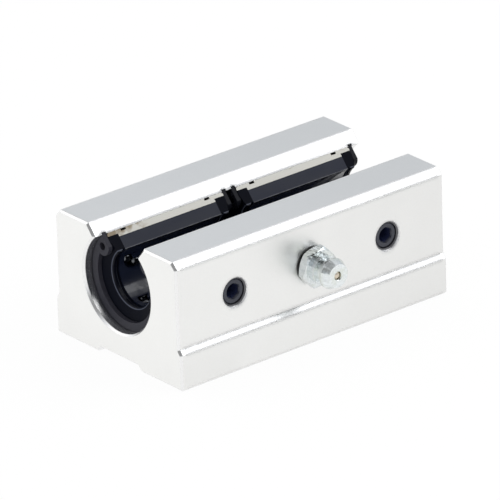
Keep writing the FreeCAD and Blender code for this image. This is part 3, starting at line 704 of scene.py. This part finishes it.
def screw_blank(radius, length, sizes):
    """A set screw without its thread, about Z: its socket at the bottom and its cup at the top."""
    facets, chamfer = sizes.facets, sizes.screw_chamfer
    steps = round((length - 2 * chamfer) / sizes.screw_pitch * SCREW_STEPS)
    rings = [
        [Vector((0, 0, sizes.socket_depth))],
        hexagon_ring(sizes.socket_width, sizes.socket_depth, facets),
        hexagon_ring(sizes.socket_width, sizes.socket_bevel, facets),
        round_ring(sizes.socket_width / 2 + sizes.socket_bevel, 0, facets),
        round_ring(radius - chamfer, 0, facets),
        *stack_of_rings(radius, chamfer, length - chamfer, steps, facets),
        round_ring(radius - chamfer, length, facets),
        round_ring(sizes.cup_diameter / 2, length, facets),
        [Vector((0, 0, length - sizes.cup_depth))],
    ]
    return mesh_from_rings("screw_blank", rings)


# --- Stage -------------------------------------------------------------------------------------

# The floor reaches this far each way, just below the block.
FLOOR_REACH = 3.0
FLOOR_GAP = 0.02 * MM
FLOOR_WHITE = (0.97, 0.97, 0.97, 1)
FLOOR_GLOW = 1.02
# The key lamp stands on this side of the block, this far off.
LAMP_DIRECTION = Vector((0.57, -0.50, 0.65))
LAMP_DISTANCE = 0.7
# The sky that metal sees: its colour at three heights of the direction it is seen in.
SKY_STEPS = ((0.06, (1, 1, 1)), (0.30, (0.69, 0.73, 0.785)), (0.80, (0.75, 0.76, 0.78)))
# Panels that metal sees in that sky: direction, radius in degrees and level.
PANELS = (
    ((-0.50, 0.70, 0.45), 26, 1.25),
    ((0.10, 0.62, 0.78), 20, 0.16),
    ((-0.80, -0.30, 0.52), 20, 0.28),
    ((-0.15, -0.30, 0.94), 24, 0.30),
    ((0.02, -0.70, 0.70), 20, 0.06),
    ((-0.72, 0.69, 0.03), 10, 0.40),
    ((0.57, -0.80, 0.17), 14, 0.05),
)
# A panel's soft edge starts and ends at these shares of its radius.
PANEL_EDGE = (1.35, 0.65)


def seen_directly(tree):
    """1 for camera, glossy and transmission rays, 0 for the rest."""
    path = add(tree, "ShaderNodeLightPath").outputs
    direct = maths(tree, "MAXIMUM", path["Is Camera Ray"], path["Is Glossy Ray"])
    return maths(tree, "MAXIMUM", direct, path["Is Transmission Ray"])


def add_floor(settings):
    """A plain white floor that keeps a trace of the block's shadow."""
    sides = ((-1, -1), (1, -1), (1, 1), (-1, 1))
    below = HOUSING_LOW.z - FLOOR_GAP
    corners = [(x * FLOOR_REACH, y * FLOOR_REACH, below) for x, y in sides]
    mesh = bpy.data.meshes.new("floor")
    mesh.from_pydata(corners, [], [(0, 1, 2, 3)])
    material = bpy.data.materials.new("floor_white")
    material.use_nodes = True
    tree = material.node_tree
    tree.nodes.clear()
    matt = add(tree, "ShaderNodeBsdfDiffuse", {"Color": FLOOR_WHITE})
    glow = add(tree, "ShaderNodeEmission", {"Color": (1, 1, 1, 1), "Strength": FLOOR_GLOW})
    share = product(tree, seen_directly(tree), 1 - settings.floor_share)
    mix = add(tree, "ShaderNodeMixShader", {0: share, 1: matt.outputs[0], 2: glow.outputs[0]})
    add(tree, "ShaderNodeOutputMaterial", {0: mix.outputs[0]})
    mesh.materials.append(material)
    floor = new_object("floor", mesh)


def panel(tree, direction, towards, radius):
    """1 inside a round panel that is a number of degrees in radius, falling softly to 0."""
    inputs = {0: direction, 1: Vector(towards).normalized()}
    aimed = add(tree, "ShaderNodeVectorMath", inputs, operation="DOT_PRODUCT").outputs["Value"]
    return step_up(tree, aimed, *(math.cos(math.radians(radius * share)) for share in PANEL_EDGE))


def light_all_round(scene, settings):
    """A plain sky, white to the camera. Metal sees one bright panel and some dark ones in it."""
    scene.world = bpy.data.worlds.new("studio")
    scene.world.use_nodes = True
    tree = scene.world.node_tree
    tree.nodes.clear()
    direction = add(tree, "ShaderNodeTexCoord").outputs["Generated"]
    height = add(tree, "ShaderNodeSeparateXYZ", {0: direction}).outputs[2]
    ramp = add(tree, "ShaderNodeValToRGB", {0: height})
    stops = ramp.color_ramp.elements
    stops.new(SKY_STEPS[-1][0])
    for stop, (position, colour) in zip(stops, SKY_STEPS):
        stop.position = position
        stop.color = (*colour, 1)
    seen = ramp.outputs["Color"]
    for towards, radius, level in PANELS:
        seen = blend_colours(tree, panel(tree, direction, towards, radius), seen, (level,) * 3)
    path = add(tree, "ShaderNodeLightPath").outputs
    colour = blend_colours(tree, path["Is Glossy Ray"], (settings.sky,) * 3, seen)
    colour = blend_colours(tree, path["Is Camera Ray"], colour, (1, 1, 1))
    background = add(tree, "ShaderNodeBackground", {"Color": colour, "Strength": 1.0})
    add(tree, "ShaderNodeOutputWorld", {0: background.outputs[0]})


def add_key_lamp(settings):
    """One large square soft box, up to the right of the camera."""
    direction = LAMP_DIRECTION.normalized()
    lamp = bpy.data.lights.new("soft_box", "AREA")
    lamp.shape = "SQUARE"
    lamp.size = settings.lamp_size
    lamp.energy = settings.lamp_radiance * math.pi * settings.lamp_size * settings.lamp_size
    holder = new_object("soft_box", lamp)
    holder.location = direction * LAMP_DISTANCE
    holder.rotation_mode = "QUATERNION"
    holder.rotation_quaternion = direction.to_track_quat("Z", "Y")


def add_camera(scene, settings):
    """A long lens from a little above, on the nipple's side."""
    camera = new_object("camera", bpy.data.cameras.new("camera"))
    turn, tilt = settings.azimuth, settings.elevation
    level = math.cos(tilt)
    back = Vector((math.sin(turn) * level, -math.cos(turn) * level, math.sin(tilt)))
    camera.data.sensor_width = 36
    camera.data.lens = settings.lens
    camera.data.clip_start = 0.1
    camera.data.clip_end = 20
    camera.location = Vector(settings.aim) + back * settings.distance
    camera.rotation_mode = "QUATERNION"
    roll = Matrix.Rotation(settings.roll, 3, back).to_quaternion()
    camera.rotation_quaternion = roll @ (-back).to_track_quat("-Z", "Y")
    scene.camera = camera


# --- Operators ---------------------------------------------------------------------------------


class BLOCK_OT_housing(bpy.types.Operator):
    """Finishes the extruded housing"""

    bl_idname = "bearing_block.housing"
    bl_label = "Housing"

    def execute(self, context):
        dress(aluminium_finish(context.scene.block_finish), "housing")
        return {"FINISHED"}


class BLOCK_OT_tapped_holes(bpy.types.Operator):
    """Cuts the threads of the mounting holes and of the set screws' holes"""

    bl_idname = "bearing_block.tapped_holes"
    bl_label = "Tapped holes"

    def execute(self, context):
        sizes = context.scene.block_threads
        colours = context.scene.block_finish
        clean = polished_finish("threaded_aluminium", colours.aluminium, 0.28, 0.42)
        # Painted shade: the screw holes' thread is darkened.
        shaded_lining = polished_finish("shaded_thread", colours.shaded_thread, 0.35, 0.5)
        mounts = {mount["name"]: mount for mount in frame["record"]["mounts"]}
        holes = mounts["mounting_holes"]["dims"]
        half_x = holes["spacing_x_mm"] * MM / 2
        half_y = holes["spacing_y_mm"] * MM / 2
        radius = holes["hole_r_mm"] * MM * LINING_RADIUS
        for end, x in (("front", -half_x), ("rear", half_x)):
            for side, y in (("left", half_y), ("right", -half_y)):
                tapped_thread(
                    f"{end}_{side}_mounting_thread", Matrix.Translation((x, y, 0)), radius,
                    sizes.hole_thread_depth, sizes.hole_depth, sizes.hole_pitch, sizes, clean,
                )
            low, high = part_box(f"{end}_set_screw")
            # The phase puts its crests in the roots of the screw's thread.
            tapped_thread(
                f"{end}_screw_hole_thread", into_wall((low.x + high.x) / 2, WALL),
                (high.x - low.x) / 2 + SCREW_LINING_GAP, sizes.screw_hole_crest,
                high.y - WALL - SCREW_LINING_END, sizes.screw_pitch, sizes, shaded_lining,
                phase=0.5 - (low.y - WALL) / sizes.screw_pitch,
            )
        return {"FINISHED"}


class BLOCK_OT_sleeves(bpy.types.Operator):
    """Finishes the two bearing sleeves"""

    bl_idname = "bearing_block.sleeves"
    bl_label = "Bearing sleeves"

    def execute(self, context):
        dress(sleeve_finish(context.scene.block_finish), *nodes_ending("_bearing_sleeve"))
        return {"FINISHED"}


class BLOCK_OT_cages_and_seals(bpy.types.Operator):
    """Finishes the ball cages and the end seals"""

    bl_idname = "bearing_block.cages_and_seals"
    bl_label = "Cages and seals"

    def execute(self, context):
        colours = context.scene.block_finish
        resin = moulded_finish(
            "moulded_resin", colours.resin, gloss=0.30, roughness=0.30, grain=0.2 * MM,
            depth=0.004 * MM, grease=1.0,
        )
        dress(resin, *nodes_ending("_ball_cage"))
        rubber = moulded_finish(
            "seal_rubber", colours.rubber, gloss=0.05, roughness=0.38, grain=0.12 * MM,
            # The lip colour is a painted highlight.
            depth=0.006 * MM, grease=0.25, lip=colours.seal_lip_highlight,
        )
        dress(rubber, *nodes_ending("_seal"))
        return {"FINISHED"}


class BLOCK_OT_balls(bpy.types.Operator):
    """Polishes the bearing balls"""

    bl_idname = "bearing_block.balls"
    bl_label = "Bearing balls"

    def execute(self, context):
        # Painted shade: the balls are darkened as if in shade inside the cages.
        steel = polished_finish("ball_steel", context.scene.block_finish.ball_steel, 0.10, 0.18)
        dress(steel, *nodes_ending("_ball_circuit"))
        return {"FINISHED"}


class BLOCK_OT_retaining_rings(bpy.types.Operator):
    """Blackens the four retaining rings; all but the front outer one get a darker copy, as painted
    shade
    """

    bl_idname = "bearing_block.retaining_rings"
    bl_label = "Retaining rings"

    def execute(self, context):
        colours = context.scene.block_finish
        # Painted shade: the rings in shade get a darker copy of the oxide.
        shaded_rings = oxide_finish("shaded_ring_oxide", colours.shaded_ring_oxide, gloss=0.12)
        dress(shaded_rings, *nodes_ending("_retaining_ring"))
        unshaded_ring = oxide_finish("ring_oxide", colours.ring_oxide, gloss=0.12)
        dress(unshaded_ring, "front_outer_retaining_ring")
        return {"FINISHED"}


class BLOCK_OT_set_screws(bpy.types.Operator):
    """Turns the two socket set screws with their threads"""

    bl_idname = "bearing_block.set_screws"
    bl_label = "Set screws"

    def execute(self, context):
        sizes = context.scene.block_threads
        colours = context.scene.block_finish
        oxide = oxide_finish(
            "screw_oxide", colours.screw_oxide, gloss=0.3, socket=colours.socket_blue
        )
        for node in nodes_ending("_set_screw"):
            low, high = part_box(node)
            length = high.y - low.y
            mesh = cut_thread(
                screw_blank((high.x - low.x) / 2, length, sizes), sizes.screw_pitch,
                sizes.screw_depth, sizes.screw_chamfer, length - sizes.screw_chamfer, oxide,
            )
            place = into_wall((low.x + high.x) / 2, low.y)
            screw = place_piece(f"threaded_{node}", mesh, place, "block", oxide)
            sharpen(mesh)
            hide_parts(node)
        return {"FINISHED"}


class BLOCK_OT_nipple(bpy.types.Operator):
    """Plates the grease nipple and its check ball"""

    bl_idname = "bearing_block.nipple"
    bl_label = "Grease nipple"

    def execute(self, context):
        colours = context.scene.block_finish
        dress(zinc_finish(colours), "grease_nipple_body")
        dress(polished_finish("check_ball", colours.check_ball, 0.25, 0.4), "nipple_check_ball")
        return {"FINISHED"}


class BLOCK_OT_spring(bpy.types.Operator):
    """Winds the spring behind the check ball"""

    bl_idname = "bearing_block.spring"
    bl_label = "Nipple spring"

    def execute(self, context):
        sizes = context.scene.block_threads
        low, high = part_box("nipple_spring")
        wire_radius = sizes.spring_wire / 2
        colour = context.scene.block_finish.spring_steel
        steel = polished_finish("spring_steel", colour, 0.2, 0.35)
        mesh = run_tree(spring_tree(), bpy.data.meshes.new("coil"), {
            "Radius": sizes.spring_diameter / 2 - wire_radius, "Wire Radius": wire_radius,
            "Length": high.y - low.y - sizes.spring_wire, "Turns": sizes.spring_turns,
            "Material": steel,
        })
        place = into_wall(0, low.y + wire_radius)
        spring = place_piece("coiled_nipple_spring", mesh, place, "block", steel)
        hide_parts("nipple_spring")
        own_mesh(spring)
        return {"FINISHED"}


class BLOCK_OT_stage(bpy.types.Operator):
    """Sets up the floor, the light all round, the key lamp and the camera"""

    bl_idname = "bearing_block.stage"
    bl_label = "Stage"

    def execute(self, context):
        settings = context.scene.block_stage
        add_floor(settings)
        light_all_round(context.scene, settings)
        add_key_lamp(settings)
        add_camera(context.scene, settings)
        context.scene.view_settings.view_transform = "Standard"
        return {"FINISHED"}


# --- Add-on ------------------------------------------------------------------------------------

STEPS = (
    BLOCK_OT_housing,
    BLOCK_OT_tapped_holes,
    BLOCK_OT_sleeves,
    BLOCK_OT_cages_and_seals,
    BLOCK_OT_balls,
    BLOCK_OT_retaining_rings,
    BLOCK_OT_set_screws,
    BLOCK_OT_nipple,
    BLOCK_OT_spring,
    BLOCK_OT_stage,
)
GROUPS = {"block_finish": BlockFinish, "block_threads": BlockThreads, "block_stage": BlockStage}


class BLOCK_PT_panel(bpy.types.Panel):
    """Lists the steps that dress the bearing block"""

    bl_idname = "BLOCK_PT_panel"
    bl_label = "Bearing Block"
    bl_space_type = "VIEW_3D"
    bl_region_type = "UI"
    bl_category = "Bearing Block"

    def draw(self, context):
        for step in STEPS:
            self.layout.operator(step.bl_idname)
        for group, kind in GROUPS.items():
            box = self.layout.box()
            for name in kind.__annotations__:
                box.prop(getattr(context.scene, group), name)


def register():
    """Registers the properties, the operators and the panel."""
    for group, kind in GROUPS.items():
        bpy.utils.register_class(kind)
        setattr(bpy.types.Scene, group, PointerProperty(type=kind))
    for kind in (*STEPS, BLOCK_PT_panel):
        bpy.utils.register_class(kind)


def unregister():
    """Takes everything out again."""
    for kind in (BLOCK_PT_panel, *reversed(STEPS)):
        bpy.utils.unregister_class(kind)
    for group, kind in GROUPS.items():
        delattr(bpy.types.Scene, group)
        bpy.utils.unregister_class(kind)


def main():
    """Dresses the block."""
    register()
    for step in STEPS:
        family, name = step.bl_idname.split(".")
        getattr(getattr(bpy.ops, family), name)()


if __name__ == "__main__":
    main()
